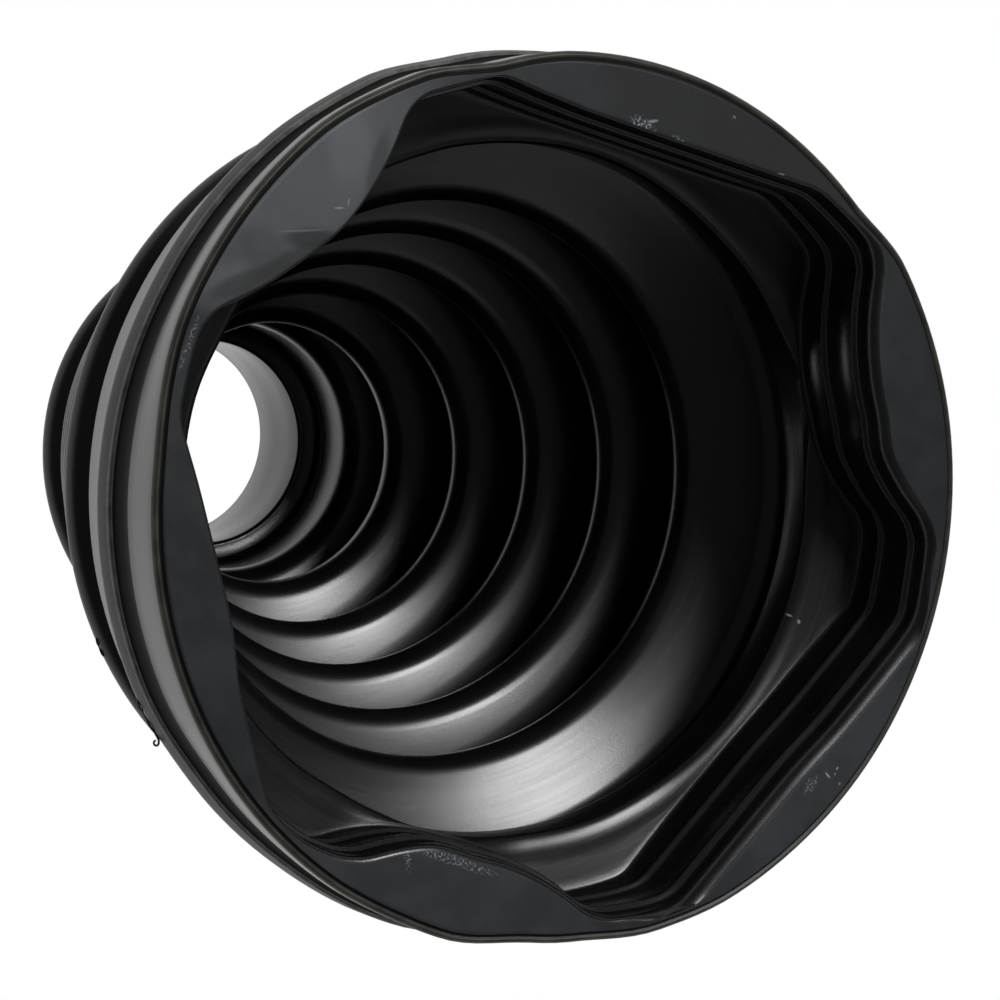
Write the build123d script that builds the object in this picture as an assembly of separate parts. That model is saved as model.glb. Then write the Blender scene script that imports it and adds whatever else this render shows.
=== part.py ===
"""Rubber bellows boot for a tripod joint, moulded in one piece.

The boot stands on its small end. The small end grips the shaft, five folds step out to a
wide collar, and the collar's bore has three lobes that seal on a lobed joint housing.
Lengths are millimetres, the boot's axis is Z, and the small end's face is at Z = 0.
"""

from build123d import *
import math
import os
from itertools import pairwise

# Small end, where a band clamp holds the boot on the shaft
SHAFT_BORE_RADIUS = 12.0
SHAFT_BORE_LENGTH = 12.0  # straight grip, from the end face to the step inside
GRIP_WALL = 2.9
SHAFT_SEAT_WIDTH = 8.5
END_LIP_WIDTH = 2.5
END_LIP_PROUD = 0.7
END_CHAMFER = 0.5

# Neck, between the shaft grip and the first crest
NECK_STEP = 2.4  # from the shaft bore out to the neck's inside
NECK_LENGTH = 6.5  # straight part inside, above the step
NECK_TURN_RADIUS = 3.0  # inner skin
NECK_TO_VALLEY = 11.8

# Bellows folds, counted from the collar down
WALL = 2.0
VALLEY_COUNT = 5
FOLD_PITCH = 10.6
FIRST_VALLEY_RADIUS = 28.6  # inner skin
VALLEY_STEP = 3.46
VALLEY_TURN_RADIUS = 2.6  # inner skin
FIRST_CREST_RADIUS = 38.3  # outer skin, first crest below the shoulder
CREST_STEP = 3.8
LAST_CREST_RADIUS = 25.0
CREST_TURN_RADIUS = 3.2  # outer skin

# Collar, which a band clamp pulls down on the joint housing
CLAMP_SEAT_RADIUS = 43.4
CLAMP_SEAT_WIDTH = 9.5
COLLAR_CHAMFER = 0.8
FLANGE_PROUD = 0.5
FLANGE_CHAMFER = 0.4

# Shoulder, the large crest that carries the collar
SHOULDER_DROP = 2.9  # from the clamp seat in to the shoulder's crest
SHOULDER_TURN_RADIUS = 5.0
SHOULDER_TO_VALLEY = 7.5

# Housing bore: flats and inward bulges take turns round the collar
LOBE_COUNT = 3
BORE_DEPTH = 11.8
BORE_DRAFT = 3.0  # degrees, narrowing inward
COLLAR_WALL = 2.1  # at the corners of the bore
FLAT_DEPTH = 4.5  # from the corners' circle in to a flat
BULGE_DEPTH = 5.9  # from the corners' circle in to a bulge's apex
BULGE_ARC_RADIUS = 28.0
BORE_CORNER_FILLET = 5.5
BORE_LEAD_IN = 1.0
FIRST_BULGE_ANGLE = 30.0

# Sealing beads round the housing bore
BEAD_COUNT = 2
BEAD_HEIGHT = 0.4
BEAD_WIDTH = 1.2
FIRST_BEAD_DEPTH = 2.8
BEAD_PITCH = 5.0

# Stop ring, which the end of the housing rests on
STOP_RING_STEP = 1.0  # inward from the bulges' apex
STOP_RING_WIDTH = 5.4
STOP_RING_LEAD = 1.5
STOP_RING_BACK_CHAMFER = 0.5
STOP_RING_HEIGHT = 3.0  # behind it, out to the shoulder's inside
STOP_RING_TO_SHOULDER = 4.6

# Flats that round each fold's tip: more on the broad side of the wall than on the tight side
BROAD_FLAT_COUNT = 3
TIGHT_FLAT_COUNT = 1

# Radii that follow from the sizes above
SHAFT_SEAT_RADIUS = SHAFT_BORE_RADIUS + GRIP_WALL
NECK_INNER_RADIUS = SHAFT_BORE_RADIUS + NECK_STEP
SHOULDER_RADIUS = CLAMP_SEAT_RADIUS - SHOULDER_DROP
BORE_CORNER_RADIUS = CLAMP_SEAT_RADIUS - COLLAR_WALL
BULGE_APEX_RADIUS = BORE_CORNER_RADIUS - BULGE_DEPTH
STOP_RING_RADIUS = BULGE_APEX_RADIUS - STOP_RING_STEP

# Heights, stacked from the small end
NECK_TURN_Z = SHAFT_BORE_LENGTH + NECK_LENGTH
LAST_VALLEY_Z = NECK_TURN_Z + NECK_TO_VALLEY
FIRST_VALLEY_Z = LAST_VALLEY_Z + (VALLEY_COUNT - 1) * FOLD_PITCH
SHOULDER_Z = FIRST_VALLEY_Z + SHOULDER_TO_VALLEY
STOP_RING_BACK_Z = SHOULDER_Z + STOP_RING_TO_SHOULDER
BORE_FLOOR_Z = STOP_RING_BACK_Z + STOP_RING_WIDTH
MOUTH_Z = BORE_FLOOR_Z + BORE_DEPTH


class Turn:
    """A fold's tip: two skins bent round one centre, a crest outward or a valley inward."""

    def __init__(self, radius, z, outer_turn, inner_turn, crest):
        self.radius = radius
        self.z = z
        self.outer_turn = outer_turn
        self.inner_turn = inner_turn
        self.crest = crest


def crest_turn(tip_radius, z, outer_turn):
    """A crest whose outer skin reaches tip_radius from the axis."""
    return Turn(tip_radius - outer_turn, z, outer_turn, outer_turn - WALL, True)


def valley_turn(tip_radius, z, inner_turn):
    """A valley whose inner skin reaches in to tip_radius from the axis."""
    return Turn(tip_radius + inner_turn, z, inner_turn - WALL, inner_turn, False)


def fold_turns():
    """Every tip from the neck up to the shoulder, valleys and crests in turn."""
    turns = [valley_turn(NECK_INNER_RADIUS, NECK_TURN_Z, NECK_TURN_RADIUS)]
    for number in reversed(range(VALLEY_COUNT)):
        valley_z = FIRST_VALLEY_Z - number * FOLD_PITCH
        is_last = number == VALLEY_COUNT - 1
        crest_z = (turns[-1].z + valley_z) / 2
        crest_radius = LAST_CREST_RADIUS if is_last else FIRST_CREST_RADIUS - number * CREST_STEP
        turns.append(crest_turn(crest_radius, crest_z, CREST_TURN_RADIUS))
        valley_radius = FIRST_VALLEY_RADIUS - number * VALLEY_STEP
        turns.append(valley_turn(valley_radius, valley_z, VALLEY_TURN_RADIUS))
    turns.append(crest_turn(SHOULDER_RADIUS, SHOULDER_Z, SHOULDER_TURN_RADIUS))
    return turns


def flank_angle(low, high, low_turn, high_turn):
    """Direction, in radians, from the lower tip's centre to where the flank leaves it."""
    rise = math.atan2(high.z - low.z, high.radius - low.radius)
    apart = math.hypot(high.z - low.z, high.radius - low.radius)
    lean = math.acos((low_turn + high_turn) / apart)
    return rise - lean if low.crest else rise + lean


def outside_angle(turn, skin_turn, point):
    """Direction from a crest's centre to where a straight line to a higher point leaves it."""
    rise = math.atan2(point[1] - turn.z, point[0] - turn.radius)
    apart = math.hypot(point[1] - turn.z, point[0] - turn.radius)
    return rise - math.acos(skin_turn / apart)


def tip_corners(turn, skin_turn, start, end, flats):
    """Corners of the flats that round a tip, each flat tangent to the tip's circle."""
    step = (end - start) / (flats + 1)
    reach = skin_turn / math.cos(step / 2)
    angles = [start + step * (index + 0.5) for index in range(flats + 1)]
    return [(turn.radius + reach * math.cos(a), turn.z + reach * math.sin(a)) for a in angles]


def skin(turns, skin_turn, flats, top_point):
    """One skin of the folds as (radius, height) corners, from the neck up to top_point."""
    corners = []
    start = math.pi
    for low, high in pairwise(turns):
        leave = flank_angle(low, high, skin_turn(low), skin_turn(high))
        corners += tip_corners(low, skin_turn(low), start, leave, flats(low))
        start = leave + math.pi if low.crest else leave - math.pi
    last = turns[-1]
    leave = outside_angle(last, skin_turn(last), top_point)
    corners += tip_corners(last, skin_turn(last), start, leave, flats(last))
    return corners + [top_point]


def outer_outline():
    """The outside from the axis at the small end to the axis at the mouth."""
    seat_top = END_LIP_WIDTH + SHAFT_SEAT_WIDTH
    neck_radius = NECK_INNER_RADIUS + WALL
    step_height = neck_radius - SHAFT_SEAT_RADIUS
    lip_radius = SHAFT_SEAT_RADIUS + END_LIP_PROUD
    small_end = [
        (0, 0),
        (lip_radius - END_CHAMFER, 0),
        (lip_radius, END_CHAMFER),
        (lip_radius, END_LIP_WIDTH - END_LIP_PROUD),
        (SHAFT_SEAT_RADIUS, END_LIP_WIDTH),
        (SHAFT_SEAT_RADIUS, seat_top),
        (neck_radius, seat_top + step_height),
    ]
    flange_z = MOUTH_Z - CLAMP_SEAT_WIDTH
    flange_radius = CLAMP_SEAT_RADIUS + FLANGE_PROUD
    flange_corner = (flange_radius, flange_z - FLANGE_CHAMFER)
    folds = skin(
        fold_turns(),
        lambda turn: turn.outer_turn,
        lambda turn: BROAD_FLAT_COUNT if turn.crest else TIGHT_FLAT_COUNT,
        flange_corner,
    )
    collar = [
        (flange_radius - FLANGE_CHAMFER, flange_z),
        (CLAMP_SEAT_RADIUS, flange_z),
        (CLAMP_SEAT_RADIUS, MOUTH_Z - COLLAR_CHAMFER),
        (CLAMP_SEAT_RADIUS - COLLAR_CHAMFER, MOUTH_Z),
        (0, MOUTH_Z),
    ]
    return small_end + folds + collar


def cavity_outline():
    """The space inside from the small end's face up to the floor of the housing bore."""
    shaft_bore = [
        (0, 0),
        (SHAFT_BORE_RADIUS + END_CHAMFER, 0),
        (SHAFT_BORE_RADIUS, END_CHAMFER),
        (SHAFT_BORE_RADIUS, SHAFT_BORE_LENGTH),
        (NECK_INNER_RADIUS, SHAFT_BORE_LENGTH),
    ]
    folds = skin(
        fold_turns(),
        lambda turn: turn.inner_turn,
        lambda turn: TIGHT_FLAT_COUNT if turn.crest else BROAD_FLAT_COUNT,
        (STOP_RING_RADIUS + STOP_RING_HEIGHT, STOP_RING_BACK_Z),
    )
    stop_ring = [
        (STOP_RING_RADIUS + STOP_RING_BACK_CHAMFER, STOP_RING_BACK_Z),
        (STOP_RING_RADIUS, STOP_RING_BACK_Z + STOP_RING_BACK_CHAMFER),
        (STOP_RING_RADIUS, BORE_FLOOR_Z),
        (0, BORE_FLOOR_Z),
    ]
    return shaft_bore + folds + stop_ring


def turned(outline):
    """Revolve a closed (radius, height) outline about the boot's axis."""
    return revolve(Plane.XZ * make_face(Polyline(*outline, close=True)), Axis.Z)


def lobed_face(inset):
    """The housing bore's section, inset all round: a circle less its flats and bulges."""
    corner_radius = BORE_CORNER_RADIUS - inset
    bulge = Pos(X=BULGE_APEX_RADIUS + BULGE_ARC_RADIUS) * Circle(BULGE_ARC_RADIUS + inset)
    beyond_flat = Pos(X=corner_radius - FLAT_DEPTH) * Rectangle(
        corner_radius, 2 * corner_radius, align=(Align.MIN, Align.CENTER)
    )
    lobe_angle = 360 / LOBE_COUNT
    face = Circle(corner_radius)
    for lobe in range(LOBE_COUNT):
        bulge_angle = FIRST_BULGE_ANGLE + lobe * lobe_angle
        face -= Rot(Z=bulge_angle) * bulge
        face -= Rot(Z=bulge_angle + lobe_angle / 2) * beyond_flat
    return fillet(face.vertices(), BORE_CORNER_FILLET - inset)


def bore_stations():
    """(depth, inset) pairs down the housing bore: lead-in, draft and a crest for each bead."""

    def draft(depth):
        return depth * math.tan(math.radians(BORE_DRAFT))

    stations = [(0, -BORE_LEAD_IN), (BORE_LEAD_IN, draft(BORE_LEAD_IN))]
    half_bead = BEAD_WIDTH / 2
    for bead in range(BEAD_COUNT):
        depth = FIRST_BEAD_DEPTH + bead * BEAD_PITCH
        stations.append((depth - half_bead, draft(depth - half_bead)))
        stations.append((depth, draft(depth) + BEAD_HEIGHT))
        stations.append((depth + half_bead, draft(depth + half_bead)))
    stations.append((BORE_DEPTH, draft(BORE_DEPTH)))
    return stations


def housing_bore():
    """The lobed space in the collar, lofted from each bore station to the next."""
    sections = [Pos(Z=MOUTH_Z - depth) * lobed_face(inset) for depth, inset in bore_stations()]
    space = Part()
    for upper, lower in pairwise(sections):
        space += loft([upper.face(), lower.face()], ruled=True)
    lead = Pos(Z=BORE_FLOOR_Z) * Cone(
        STOP_RING_RADIUS,
        STOP_RING_RADIUS + STOP_RING_LEAD,
        STOP_RING_LEAD,
        align=(Align.CENTER, Align.CENTER, Align.MAX),
    )
    return space + (lead & extrude(sections[-1], STOP_RING_LEAD, dir=(0, 0, -1)))


def bellows_boot():
    """The whole moulding: the turned outside less its cavity and the lobed housing bore."""
    return turned(outer_outline()) - turned(cavity_outline()) - housing_bore()


os.makedirs("parts", exist_ok=True)
export_step(bellows_boot(), "parts/bellows_boot.step")
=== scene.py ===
"""Looks of a moulded rubber bellows boot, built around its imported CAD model.

The boot stands on its small end and the camera looks down into its mouth. One fine mesh stands
for the CAD solid: the same folds, collar and lobed bore with their true rounds, and the mouth
as soft rubber relaxes. Sizes inside the classes are millimetres, and Blender's are metres.
"""

import logging
import math
from dataclasses import dataclass, field
from enum import Enum
from itertools import pairwise
from typing import Any

import bpy
import numpy as np
from mathutils import Matrix, Quaternion, Vector


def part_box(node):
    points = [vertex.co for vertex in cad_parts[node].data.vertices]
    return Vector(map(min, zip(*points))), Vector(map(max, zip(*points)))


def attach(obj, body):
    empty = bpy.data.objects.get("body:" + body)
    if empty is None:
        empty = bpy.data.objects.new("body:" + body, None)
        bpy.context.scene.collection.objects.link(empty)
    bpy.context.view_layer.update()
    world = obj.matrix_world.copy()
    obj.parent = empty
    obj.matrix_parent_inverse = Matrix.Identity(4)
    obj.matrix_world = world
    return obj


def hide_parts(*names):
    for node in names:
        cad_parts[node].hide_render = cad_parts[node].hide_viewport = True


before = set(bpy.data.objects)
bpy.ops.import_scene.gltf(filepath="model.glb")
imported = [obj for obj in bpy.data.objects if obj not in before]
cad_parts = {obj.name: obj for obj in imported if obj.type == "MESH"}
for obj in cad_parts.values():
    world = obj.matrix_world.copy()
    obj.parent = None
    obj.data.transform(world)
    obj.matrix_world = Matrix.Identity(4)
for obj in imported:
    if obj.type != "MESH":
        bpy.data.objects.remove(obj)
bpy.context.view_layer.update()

MM = 0.001
NODE = "bellows_boot"
BODY = "root"

# Mesh steps in a quarter turn, more where the round shows more.
SMALL_STEPS = 3
ROUND_STEPS = 4
GROOVE_STEPS = 6
FINE_STEPS = 8
BEAD_RINGS = 11

log = logging.getLogger("boot")


def linear(hex_colour: str) -> tuple[float, float, float, float]:
    """Turn an sRGB hex colour into linear light.

    Args:
        hex_colour: the colour as "#rrggbb".

    Returns:
        Red, green, blue and an alpha of 1.
    """
    parts = [int(hex_colour[i : i + 2], 16) / 255 for i in (1, 3, 5)]
    low = [c / 12.92 for c in parts]
    high = [((c + 0.055) / 1.055) ** 2.4 for c in parts]
    return tuple(a if c <= 0.04045 else b for c, a, b in zip(parts, low, high)) + (1.0,)


def placed(name: str, data: bpy.types.ID) -> bpy.types.Object:
    """Put an object with its data into the scene.

    Args:
        name: the object's name.
        data: its mesh, camera or lamp.

    Returns:
        The new object.
    """
    thing = bpy.data.objects.new(name, data)
    bpy.context.scene.collection.objects.link(thing)
    return thing


def eased_least(first: np.ndarray, second: np.ndarray, ease: float) -> np.ndarray:
    """The lesser of two lengths, eased over about a given length where they meet."""
    return -ease * np.log(np.exp(-first / ease) + np.exp(-second / ease))


def smoothstep(value: np.ndarray | float, low: float, high: float) -> np.ndarray | float:
    """Ease from 0 at low to 1 at high."""
    share = np.clip((value - low) / (high - low), 0.0, 1.0)
    return share * share * (3 - 2 * share)


class Finish(Enum):
    """The material slots of the boot's mesh, in order."""

    INSIDE = 0
    BORE = 1
    FACE = 2
    RIM = 3
    SEAT = 4
    FOLDS = 5
    BAND = 6
    # EDGE holds a painted highlight.
    EDGE = 7
    # GROOVE holds painted shade.
    GROOVE = 8


@dataclass(frozen=True)
class Ring:
    """One closed ring of the skin, all at one height.

    Args:
        height: above the small end's face.
        radius: where the ring is turned.
        inset: how far inside the lobed outline the ring lies, where it follows the lobes.
        turned: share of the turned circle in the ring, from 0, lobed, to 1, round.
        ledge: share of the stop ring's front edge in the lobed part, against the bore's wall.
        rim: share of the rim's relaxed shape in the turned circle, against the bore's.
        edge: angle round the bore's edge, from 0 at the mouth's face to a quarter turn.
        floor: share of the bore's sloping floor in the ring's height.
        finish: material of the strip from this ring to the next.
    """

    height: float
    radius: float = 0.0
    inset: float = 0.0
    turned: float = 1.0
    ledge: float = 0.0
    rim: float = 1.0
    edge: float | None = None
    floor: float = 0.0
    finish: Finish = Finish.INSIDE


@dataclass(frozen=True)
class FoldTip:
    """The tip of a fold, where both skins bend round one centre.

    Args:
        radius: the centre's distance from the axis.
        height: the centre's height.
        outer_turn: radius of the outer skin round it.
        inner_turn: radius of the inner skin round it.
        is_crest: a crest, or else a valley.
    """

    radius: float
    height: float
    outer_turn: float
    inner_turn: float
    is_crest: bool


@dataclass(frozen=True)
class LobedOutline:
    """Section of the housing bore: a circle less flats and inward bulges, corners rounded.

    Args:
        corner_radius: of the circle.
        flat_depth: from the circle in to the middle of a flat.
        bulge_depth: from the circle in to the middle of a bulge.
        bulge_arc: radius of a bulge.
        fillet: radius of the rounds between them.
        lobes: how many flats and how many bulges there are.
        first_bulge: direction of the first bulge.
        columns_per_stretch: mesh columns on each stretch of half a lobe, from a bulge on.
    """

    corner_radius: float = 41.3
    flat_depth: float = 4.5
    bulge_depth: float = 5.9
    bulge_arc: float = 28.0
    fillet: float = 5.5
    lobes: int = 3
    first_bulge: float = math.radians(30)
    columns_per_stretch: tuple[int, ...] = (9, 8, 4, 7, 12)

    @property
    def half_lobe(self) -> float:
        """Angle from the middle of a bulge to the middle of the next flat."""
        return math.pi / self.lobes

    def breaks(self, inset: float) -> dict[str, float]:
        """Where the outline's stretches meet, over half a lobe.

        Args:
            inset: how far inside the mouth's outline the section lies.

        Returns:
            The radii of its circles, and angles from the middle of a bulge.
        """
        corner = self.corner_radius - inset
        flat = corner - self.flat_depth
        arc = self.bulge_arc + inset
        arc_centre = self.corner_radius - self.bulge_depth + self.bulge_arc
        fillet = self.fillet - inset
        hub = corner - fillet
        cos_bulge = (hub**2 + arc_centre**2 - (arc + fillet) ** 2) / (2 * hub * arc_centre)
        bulge_fillet = math.acos(cos_bulge)
        share = arc / (arc + fillet)
        touch = complex(hub * math.cos(bulge_fillet), hub * math.sin(bulge_fillet))
        touch = arc_centre + (touch - arc_centre) * share
        along = math.sqrt(hub**2 - (flat - fillet) ** 2)
        return {
            "corner": corner,
            "flat": flat,
            "arc": arc,
            "arc_centre": arc_centre,
            "fillet": fillet,
            "hub": hub,
            "bulge_end": math.atan2(touch.imag, touch.real),
            "bulge_fillet": bulge_fillet,
            "flat_fillet": self.half_lobe - math.atan2(along, flat - fillet),
            "flat_start": self.half_lobe - math.atan2(along, flat),
        }

    def columns(self) -> np.ndarray:
        """Angles of the mesh's columns round the boot, closest together at the corners.

        Returns:
            The angles, from the middle of the first bulge on.
        """
        b = self.breaks(0.0)
        marks = [0, b["bulge_end"], b["bulge_fillet"], b["flat_fillet"], b["flat_start"]]
        marks.append(self.half_lobe)
        half = []
        for (start, end), count in zip(pairwise(marks), self.columns_per_stretch):
            half += list(np.linspace(start, end, count, endpoint=False))
        mirrored = [2 * self.half_lobe - angle for angle in half[:0:-1]]
        lobe = np.array(half + [self.half_lobe] + mirrored)
        turns = [lobe + self.first_bulge + 2 * self.half_lobe * n for n in range(self.lobes)]
        return np.concatenate(turns)

    def radius(self, angles: np.ndarray, inset: float) -> np.ndarray:
        """Distance from the axis to the outline.

        Args:
            angles: directions round the axis.
            inset: how far inside the mouth's outline the section lies.

        Returns:
            One distance for each direction.
        """
        b = self.breaks(inset)
        turn = np.mod(angles - self.first_bulge + self.half_lobe, 2 * self.half_lobe)
        turn = np.abs(turn - self.half_lobe)

        def bent(hub: float, arc: float, centre_angle: float, side: int) -> np.ndarray:
            """Polar radius of a circle.

            Args:
                hub: distance from the axis to its centre.
                arc: its radius.
                centre_angle: direction of its centre.
                side: +1 for its far side and -1 for its near one.

            Returns:
                One distance for each direction.
            """
            off = turn - centre_angle
            under = np.maximum(arc**2 - (hub * np.sin(off)) ** 2, 0)
            return hub * np.cos(off) + side * np.sqrt(under)

        stretches = [
            (turn < b["bulge_end"], bent(b["arc_centre"], b["arc"], 0.0, -1)),
            (turn < b["bulge_fillet"], bent(b["hub"], b["fillet"], b["bulge_fillet"], 1)),
            (turn < b["flat_fillet"], np.full_like(turn, b["corner"])),
            (turn < b["flat_start"], bent(b["hub"], b["fillet"], b["flat_fillet"], 1)),
        ]
        flat = b["flat"] / np.cos(self.half_lobe - turn)
        return np.select([s[0] for s in stretches], [s[1] for s in stretches], flat)


@dataclass(frozen=True)
class Press:
    """A stretch of the soft mouth that lies off its moulded shape.

    Args:
        angle: its middle, in degrees round the axis.
        half_width: degrees either side that are shifted in full.
        ease: degrees beyond that over which the shift fades.
        shift: outward, in millimetres.
        reach: depth below the mouth at which the shift is gone.
    """

    angle: float
    half_width: float
    ease: float
    shift: float
    reach: float = 20.0

    def at(self, angles: np.ndarray, depth: np.ndarray | float = 0.0) -> np.ndarray:
        """Outward shift in each direction at a depth.

        Args:
            angles: directions round the axis.
            depth: below the mouth's face.

        Returns:
            One shift for each direction, in millimetres.
        """
        off = np.abs(np.mod(np.degrees(angles) - self.angle + 180, 360) - 180)
        around = 1 - smoothstep(off, self.half_width, self.half_width + self.ease)
        return self.shift * around * (1 - smoothstep(depth, 0.0, self.reach))


@dataclass(frozen=True)
class Relaxed:
    """How the soft mouth lies, out of round.

    A deep press and a shallow one that undoes it at the mouth shift only what lies between.

    Args:
        rim: where the collar's outside is pressed in or bulges.
        bore: the same for the lobed bore.
        edge: where the round of the bore's edge is broader or tighter.
    """

    rim: tuple[Press, ...] = (
        Press(327, 29, 12, -1.2, 32),
        Press(8, 4, 12, -0.15, 32),
        Press(36, 12, 22, 0.8, 9),
        Press(31, 15, 28, -0.7, 30),
        Press(31, 15, 28, 0.7, 9),
        Press(120, 8, 14, -0.6, 30),
        Press(120, 8, 14, 0.6, 9),
        Press(102, 30, 20, -0.35, 32),
        Press(148, 6, 12, -0.25, 32),
        Press(163, 3, 13, -0.9, 26),
        Press(268, 78, 12, 0.36, 9),
        Press(240, 20, 25, 0.15, 9),
    )
    bore: tuple[Press, ...] = (
        Press(324, 20, 14, -1.05),
        Press(358, 3, 10, -0.5),
        Press(45, 6, 12, 0.45),
        Press(66, 5, 14, 1.1, 26),
        Press(66, 5, 14, -1.1, 9),
        Press(80, 7, 12, -0.3),
        Press(107, 5, 10, 0.6),
        Press(135, 4, 11, -0.95),
        Press(151, 17, 12, -0.7),
        Press(210, 24, 12, 0.4),
        Press(225, 5, 14, 0.45),
        Press(257, 3, 8, -0.95),
    )
    edge: tuple[Press, ...] = (
        Press(209, 26, 10, 1.3),
        Press(268, 20, 12, 0.9),
        Press(147, 16, 16, 0.3),
    )

    def outside(self, angles: np.ndarray, depth: np.ndarray | float) -> np.ndarray:
        """Outward shift of the collar's outside at a depth."""
        return sum(press.at(angles, depth) for press in self.rim)

    def inside(self, angles: np.ndarray, depth: np.ndarray | float) -> np.ndarray:
        """Outward shift of the lobed bore at a depth."""
        return sum(press.at(angles, depth) for press in self.bore)

    def edge_round(self, angles: np.ndarray, plain: float) -> np.ndarray:
        """Radius of the round between the mouth's face and the bore, in each direction."""
        return plain + sum(press.at(angles) for press in self.edge)


@dataclass(frozen=True)
class ShaftGrip:
    """The small end: a round bore for the shaft, a clamp's seat outside it and an end lip.

    Args:
        wall: between the bore and the clamp's seat.
        seat_margin: from each end of the seat to its ring.
        neck_margin: from the bore's inner end to the neck's ring.
        bore_shares: where along the bore its rings lie.
        rise_shares: where along the step from the seat out to the neck its rings lie.
    """

    bore_radius: float = 12.0
    bore_length: float = 12.0
    wall: float = 2.9
    seat_width: float = 8.5
    lip_width: float = 2.5
    lip_proud: float = 0.7
    edge: float = 0.5
    seat_margin: float = 0.3
    neck_margin: float = 2.0
    bore_shares: tuple[float, ...] = (0.7, 0.4)
    rise_shares: tuple[float, ...] = (0.0, 0.35, 0.75, 1.0)

    @property
    def seat_radius(self) -> float:
        """Outside of the clamp's seat."""
        return self.bore_radius + self.wall


@dataclass(frozen=True)
class Bellows:
    """Five folds between the neck and the shoulder, with one wall thickness.

    Args:
        pitch: from one valley to the next, along the axis.
        first_valley: inside radius of the valley nearest the mouth.
        valley_step: how much less that of each next valley is.
        first_crest: outside radius of the crest nearest the mouth, and crest_step its step.
        last_crest: the same for the crest nearest the neck.
        crest_turn: the crests' outer round that the inner skin is drawn round.
        crest_land: the tighter one of the outer skin.
        neck_to_valley: from the neck's tip to the nearest valley, along the axis.
        shoulder_radius: outside radius of the shoulder.
        broad_steps: mesh steps round the outside of a bend, and tight_steps inside it.
    """

    wall: float = 2.0
    valleys: int = 5
    pitch: float = 10.6
    first_valley: float = 28.6
    valley_step: float = 3.46
    valley_turn: float = 2.6
    first_crest: float = 38.4
    crest_step: float = 3.8
    last_crest: float = 25.0
    crest_turn: float = 3.2
    crest_land: float = 1.4
    neck_radius: float = 14.4
    neck_length: float = 6.5
    neck_turn: float = 3.0
    neck_to_valley: float = 11.8
    shoulder_radius: float = 40.5
    shoulder_turn: float = 5.0
    shoulder_to_valley: float = 7.5
    broad_steps: int = 12
    tight_steps: int = 6
    flank_steps: int = 3

    def crest(self, reach: float, height: float, turn: float) -> FoldTip:
        """A crest whose outer skin reaches out to a radius."""
        return FoldTip(reach - turn, height, turn, turn - self.wall, True)

    def valley(self, reach: float, height: float, turn: float) -> FoldTip:
        """A valley whose inner skin reaches in to a radius."""
        return FoldTip(reach + turn, height, turn - self.wall, turn, False)

    def tips(self, neck_bottom: float, crest_turn: float) -> list[FoldTip]:
        """Every tip from the neck up to the shoulder.

        Args:
            neck_bottom: height of the step at the neck's lower end.
            crest_turn: outer radius of the folds' crests.

        Returns:
            Valleys and crests in turn, starting with the neck.
        """
        neck_height = neck_bottom + self.neck_length
        tips = [self.valley(self.neck_radius, neck_height, self.neck_turn)]
        first_height = neck_height + self.neck_to_valley + (self.valleys - 1) * self.pitch
        for number in reversed(range(self.valleys)):
            height = first_height - number * self.pitch
            is_last = number == self.valleys - 1
            reach = self.last_crest if is_last else self.first_crest - number * self.crest_step
            tips.append(self.crest(reach, (tips[-1].height + height) / 2, crest_turn))
            inward = self.first_valley - number * self.valley_step
            tips.append(self.valley(inward, height, self.valley_turn))
        shoulder_height = first_height + self.shoulder_to_valley
        tips.append(self.crest(self.shoulder_radius, shoulder_height, self.shoulder_turn))
        return tips

    def skin(
        self, tips: list[FoldTip], outer: bool, top: tuple[float, float]
    ) -> list[tuple[float, float]]:
        """One skin of the folds, from the neck up.

        Args:
            tips: the folds' tips.
            outer: the outer skin, or else the inner one.
            top: (radius, height) of the point that the skin ends at.

        Returns:
            (radius, height) points, with arcs round the tips and straight flanks between.
        """

        def bend(tip: FoldTip) -> float:
            """The tip's radius on this skin."""
            return tip.outer_turn if outer else tip.inner_turn

        points: list[tuple[float, float]] = []
        start = math.pi
        for low, high in pairwise(tips + [FoldTip(top[0], top[1], 0.0, 0.0, False)]):
            run = complex(high.radius - low.radius, high.height - low.height)
            lean = math.acos((bend(low) + bend(high)) / abs(run))
            rise = math.atan2(run.imag, run.real)
            leave = rise - lean if low.is_crest else rise + lean
            steps = self.broad_steps if low.is_crest == outer else self.tight_steps
            arc = [start + (leave - start) * n / steps for n in range(steps + 1)]
            corner = complex(low.radius, low.height)
            bent = [corner + bend(low) * complex(math.cos(a), math.sin(a)) for a in arc]
            arrive = leave + math.pi
            end = complex(high.radius, high.height)
            end += bend(high) * complex(math.cos(arrive), math.sin(arrive))
            shares = [n / self.flank_steps for n in range(1, self.flank_steps)]
            flank = [bent[-1] + (end - bent[-1]) * share for share in shares]
            points += [(p.real, p.imag) for p in bent + flank]
            start = arrive if low.is_crest else leave - math.pi
        return points + [top]


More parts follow.
